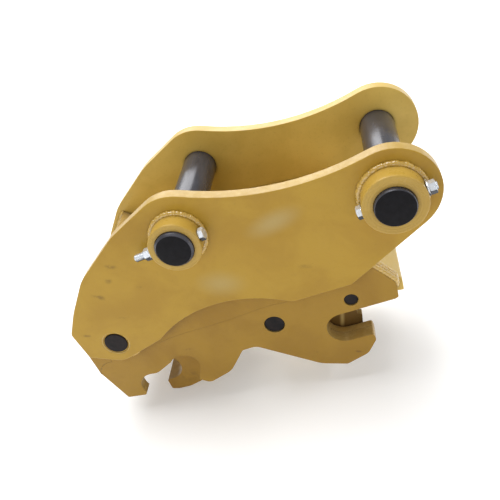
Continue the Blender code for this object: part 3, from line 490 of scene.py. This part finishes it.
def hexagon(shell, across, low, high, chamfer_low, steps=48):
    """Hexagon head or nut with its corners turned off at the top, and at the bottom if chamfer_low."""
    flat = 0.95 * across / 2
    slope = math.tan(math.radians(30))
    rows = [[], [], [], []]
    for k in range(steps):
        angle = 2 * math.pi * k / steps
        folded = (angle + math.pi / 6) % (math.pi / 3) - math.pi / 6
        radius = (across / 2) / math.cos(folded)
        drop = (radius - flat) * slope
        shape = [(flat, high), (radius, high - drop), (radius, low + (drop if chamfer_low else 0.0)),
                 (flat if chamfer_low else radius * 0.999, low)]
        for row, (r, z) in zip(rows, shape):
            row.append(shell.verts.new((r * math.cos(angle), r * math.sin(angle), z)))
    skin(shell, rows)
    shell.faces.new(rows[0])
    shell.faces.new(list(reversed(rows[-1])))


def screw(shell, radius, low, high, pitch, steps=28):
    """Threaded bar: its side has ridges that climb half a pitch in a turn, and its low end is tapered."""
    depth = pitch * 0.55
    profile = [(0.0, low), (radius - depth, low), (radius - depth * 0.4, low + depth * 0.7)]
    height = low + depth
    while height < high - pitch:
        profile += [(radius, height), (radius, height + pitch * 0.2), (radius - depth, height + pitch * 0.6)]
        height += pitch
    profile += [(radius, high), (0.0, high)]
    skin(shell, [turned_row(shell, r, z, steps, pitch * 0.5 if low < z < high else 0.0) for r, z in profile])


def bolt(node, centre, axis, across, head, flange, thread=None):
    """Hexagon bolt in place of a CAD bolt: head at axis's far end, thread over the given span of heights."""
    top = max((vertex.co - centre).dot(axis) for vertex in NODES[node].data.vertices)
    shell = bmesh.new()
    hexagon(shell, across, top - head, top, False)
    bmesh.ops.create_cone(shell, cap_ends=True, segments=40, radius1=flange, radius2=flange, depth=FLANGE_THICK,
                          matrix=Matrix.Translation((0, 0, top - head - FLANGE_MIDDLE)))
    if thread:
        screw(shell, BOLT_RADIUS, thread[0], thread[1], BOLT_PITCH)
    piece = add_piece("bolt_" + node, place_mesh("bolt_" + node, shell, centre, axis), BODY_OF[node],
                      ZINC)
    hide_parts(node)


def nut(node, centre, axis, height):
    """Hexagon nut in place of a CAD nut, its middle at that height."""
    shell = bmesh.new()
    hexagon(shell, BOLT_ACROSS, height - NUT_HEIGHT / 2, height + NUT_HEIGHT / 2, True)
    piece = add_piece("hex_" + node, place_mesh("hex_" + node, shell, centre, axis), "frame", ZINC)
    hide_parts(node)


def washer(node, centre, axis, top):
    """Ring with rounded edges in place of a CAD washer, from top down."""
    bottom = top - WASHER_THICK
    profile = [(WASHER_INNER, top), (WASHER_OUTER - WASHER_EDGE, top), (WASHER_OUTER, top - WASHER_EDGE),
               (WASHER_OUTER, bottom + WASHER_EDGE), (WASHER_OUTER - WASHER_EDGE, bottom), (WASHER_INNER, bottom),
               (WASHER_INNER, top)]
    piece = add_piece("ring_" + node, lathe("ring_" + node, profile, 48, centre, axis), "frame", ZINC)
    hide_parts(node)


stick_pin("front_stick_pin", FRONT_PIN_END, FRONT_CHAMFER)
stick_pin("rear_stick_pin", REAR_PIN_END, REAR_CHAMFER)
for side in SIDES:
    for end, pin in (("front", FRONT_PIN), ("rear", REAR_PIN)):
        bolt_node, nut_node, washer_node = ("%s_cross_%s_%s" % (end, part, side)
                                            for part in ("bolt", "nut", "washer"))
        nut_middle = middle(nut_node)
        centre = Vector((pin.x, nut_middle.y, pin.z))
        axis = (centre - nut_middle).normalized()
        seat = -(centre - nut_middle).length
        tail = min((vertex.co - centre).dot(axis) for vertex in NODES[bolt_node].data.vertices)
        bolt(bolt_node, centre, axis, BOLT_ACROSS, BOLT_HEAD, BOLT_FLANGE, (tail, seat + THREAD_OVERLAP))
        nut(nut_node, centre, axis, seat)
        washer(washer_node, centre, axis, seat + NUT_HEIGHT / 2 + WASHER_GAP + WASHER_THICK)
for keeper_bolt in ("shaft_keeper_bolt", "cylinder_pin_keeper_bolt", "latch_pin_keeper_bolt"):
    bolt(keeper_bolt, middle(keeper_bolt), Vector((0, 1, 0)), KEEPER_BOLT_ACROSS, KEEPER_BOLT_HEAD,
         KEEPER_BOLT_FLANGE)


# ---------------------------------------------------------------- weld beads
WELD_STEP = 0.0012          # between two cross-sections of a bead
WELD_LEAN = 0.0011          # how far a cross-section leans along the bead


def resample(points, closed):
    """Points at equal steps along a path."""
    path = [Vector(point) for point in points]
    if closed:
        path.append(path[0].copy())
    lengths = [0.0]
    for before, after in zip(path, path[1:]):
        lengths.append(lengths[-1] + (after - before).length)
    count = max(3, round(lengths[-1] / WELD_STEP))
    found, segment = [], 0
    for i in range(count if closed else count + 1):
        here = lengths[-1] * i / count
        while segment < len(lengths) - 2 and lengths[segment + 1] < here:
            segment += 1
        share = (here - lengths[segment]) / max(1e-9, lengths[segment + 1] - lengths[segment])
        found.append(path[segment].lerp(path[segment + 1], min(1.0, share)))
    return found


def weld(name, points, radius, body="frame", closed=False, pitch=0.0050, seed=1, sides=12, ripple=0.11,
         wander=0.0005, material=PAINT_WELD, lumps=0.0):
    """A rippled bead along a path: overlapping ridges, a wandering line and tapered ends."""
    path = resample(points, closed)
    count = len(path)
    shell = bmesh.new()
    rings = []
    for i, point in enumerate(path):
        if closed:
            before, after = path[i - 1], path[(i + 1) % count]
        else:
            before, after = path[max(0, i - 1)], path[min(count - 1, i + 1)]
        along = (after - before).normalized()
        across = (Vector((0, 1, 0)) - along * along.y).normalized()
        up = along.cross(across).normalized()
        rough = noise.noise(Vector((point.x * 60, point.y * 60, point.z * 60 + seed)))
        lump = noise.noise(Vector((point.x * 170, point.y * 170, point.z * 170 + seed)))
        phase = (i * WELD_STEP / pitch + 0.35 * rough) % 1.0
        ridge = 1.0 + ripple * (1.0 - 2.2 * phase * phase) + 0.06 * rough + lumps * lump
        drift = Vector((noise.noise(point * 90 + Vector((seed, 0, 0))),
                        noise.noise(point * 90 + Vector((0, seed, 0))),
                        noise.noise(point * 90 + Vector((0, 0, seed))))) * wander
        if not closed:
            from_end = min(i, count - 1 - i) * WELD_STEP
            ridge *= min(1.0, 0.35 + from_end / (2.0 * radius))
        ring = []
        for k in range(sides):
            angle = 2 * math.pi * k / sides
            offset = (across * math.cos(angle) + up * math.sin(angle)) * radius * ridge
            ring.append(shell.verts.new(point + drift + offset + along * (WELD_LEAN * math.cos(angle))))
        rings.append(ring)
    skin(shell, rings + rings[:1] if closed else rings)
    if not closed:
        shell.faces.new(rings[0])
        shell.faces.new(list(reversed(rings[-1])))
    bmesh.ops.recalc_face_normals(shell, faces=shell.faces)
    add_piece(name, smooth_mesh(name, shell), body, material)


def ring_path(centre, radius, y, count=72):
    return [Vector((centre.x + radius * math.cos(2 * math.pi * i / count), y,
                    centre.z + radius * math.sin(2 * math.pi * i / count))) for i in range(count)]


def side_path(points, y):
    return [Vector((point.x, y, point.z)) for point in points]


# Paths of the welds, along the edges of the plates that they join
NOSE_EDGE = [at(0.3640, -0.1770), at(0.3755, -0.1885), at(0.3990, -0.2145), at(0.4135, -0.2325),
             at(0.4155, -0.2520)]
NOSE_RUNS = (0.0070, 0.0165, 0.0260)    # three beads side by side, by distance in from the lower plate's face
FOOT_EDGE = [at(-0.322, -0.2905), at(-0.300, -0.2985), at(-0.270, -0.3075), at(-0.249, -0.3110),
             at(-0.225, -0.3050), at(-0.205, -0.2965)]
BACK_EDGE = [at(-0.240, -0.0770), at(-0.268, -0.1125), at(-0.302, -0.1625), at(-0.329, -0.2085)]
DECK_EDGE = [at(-0.200, -0.0945), at(0.333, -0.0945)]
SEAM = [at(0.171, -0.2385), at(0.143, -0.2395), at(0.111, -0.2440), at(0.070, -0.2530), at(0.029, -0.2620),
        at(-0.030, -0.2712), at(-0.088, -0.2795), at(-0.130, -0.2880), at(-0.159, -0.2970)]
BUSH_WELD_RING = 0.0332
HUB_WELD_RING = 0.0268
HUB_FACE = 0.0755

for side, sign in SIDES.items():
    for end, pin in (("front", FRONT_PIN), ("rear", REAR_PIN)):
        low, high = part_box("%s_collar_%s" % (end, side))
        collar_radius = (high.z - low.z) / 2
        weld("weld_collar_%s_%s" % (end, side),
             ring_path(pin, collar_radius + 0.0010, sign * (UPPER_OUT + 0.0005)), 0.0070,
             closed=True, seed=3 + sign, ripple=0.05, wander=0.0010, pitch=0.0068, lumps=0.20)
    weld("weld_bush_" + side, ring_path(SHAFT, BUSH_WELD_RING, sign * (UPPER_OUT - 0.0030)), 0.0022,
         closed=True, seed=9, ripple=0.05)
    for number, inset in enumerate(NOSE_RUNS):
        weld("weld_nose_%d_%s" % (number, side), side_path(NOSE_EDGE, sign * (LOWER_OUT - inset)), 0.0062,
             seed=11 + number, pitch=0.0090, ripple=0.05, wander=0.0008)
    weld("weld_foot_" + side, side_path(FOOT_EDGE, sign * (LOWER_OUT + 0.0060)), 0.0095, seed=17, ripple=0.05)
    weld("weld_back_" + side, side_path(BACK_EDGE, sign * (UPPER_IN - 0.0010)), 0.0060, seed=21, ripple=0.14)
    weld("weld_deck_" + side, side_path(DECK_EDGE, sign * (UPPER_IN - 0.0008)), 0.0050, seed=23, ripple=0.14)
    weld("weld_latch_hub_" + side, ring_path(LATCH_PIN, HUB_WELD_RING, sign * HUB_FACE), 0.0028, "latch",
         closed=True, seed=29)
    weld("seam_lower_plate_" + side, side_path(SEAM, sign * LOWER_OUT), 0.0004, seed=31, ripple=0.0,
         wander=0.0, sides=8, material=PAINT_LOWER)


# ---------------------------------------------------------------- stage, light and camera
FLOOR_Z = -0.006            # just below the part's lowest point
FLOOR_HALF = 40.0
FLOOR_GLOW = 0.25
AIM = (0.0, 0.0, 0.3)       # what the lamps point at


def floor():
    shell = bmesh.new()
    bmesh.ops.create_grid(shell, x_segments=1, y_segments=1, size=FLOOR_HALF)
    mesh = smooth_mesh("studio_floor", shell)
    g = Graph("studio_floor")
    tone = g.span(g.noise(3.0, 3.0, 0.5), 0.3, 0.7)
    g.shader.inputs["Emission Color"].default_value = (1.0, 1.0, 1.0, 1.0)
    g.shader.inputs["Emission Strength"].default_value = FLOOR_GLOW
    mesh.materials.append(g.finish(g.mix(tone, (0.80, 0.80, 0.80, 1.0), (0.82, 0.82, 0.82, 1.0)), 0.8))
    made = bpy.data.objects.new("studio_floor", mesh)
    made.location = (0, 0, FLOOR_Z)
    bpy.context.scene.collection.objects.link(made)


def lamp(name, place, size, power):
    """A rectangular lamp that points at AIM, in watts."""
    data = bpy.data.lights.new(name, 'AREA')
    data.shape = 'RECTANGLE'
    data.size, data.size_y = size
    data.energy = power
    made = bpy.data.objects.new(name, data)
    made.location = place
    made.rotation_euler = (Vector(AIM) - Vector(place)).to_track_quat('-Z', 'Y').to_euler()
    bpy.context.scene.collection.objects.link(made)


floor()
lamp("back_light", (-0.75, 2.9, 2.3), (2.6, 1.6), 46.0)
lamp("front_light", (-1.2, -3.7, 1.3), (3.0, 1.6), 23.5)
lamp("front_end_light", (3.2, 0.4, 1.6), (1.6, 1.6), 16.0)
lamp("tube_light", (-0.25, 0.55, 2.6), (0.10, 2.8), 16.0)
sun = bpy.data.objects.new("sky_light", bpy.data.lights.new("sky_light", 'SUN'))
sun.data.energy = 2.25
sun.data.angle = math.radians(50)
sun.rotation_euler = Euler((math.radians(-8), math.radians(-8), 0))
bpy.context.scene.collection.objects.link(sun)
bpy.context.scene.view_settings.view_transform = 'Standard'

world = bpy.data.worlds.new("studio")
world.use_nodes = True
world.node_tree.nodes["Background"].inputs["Color"].default_value = (1.0, 1.0, 1.0, 1.0)
world.node_tree.nodes["Background"].inputs["Strength"].default_value = 0.42
bpy.context.scene.world = world

CAMERA_PLACE = (0.31923, -1.21882, 1.12194)
CAMERA_TURN = (56.521, 15.761, 4.514)       # degrees
camera_data = bpy.data.cameras.new("camera")
camera_data.sensor_width = 36.0
camera_data.lens = 44.40
camera_data.shift_y = 0.001
camera_data.clip_start = 0.05
camera = bpy.data.objects.new("camera", camera_data)
camera.location = CAMERA_PLACE
camera.rotation_euler = Euler([math.radians(angle) for angle in CAMERA_TURN], 'XYZ')
bpy.context.scene.collection.objects.link(camera)
bpy.context.scene.camera = camera
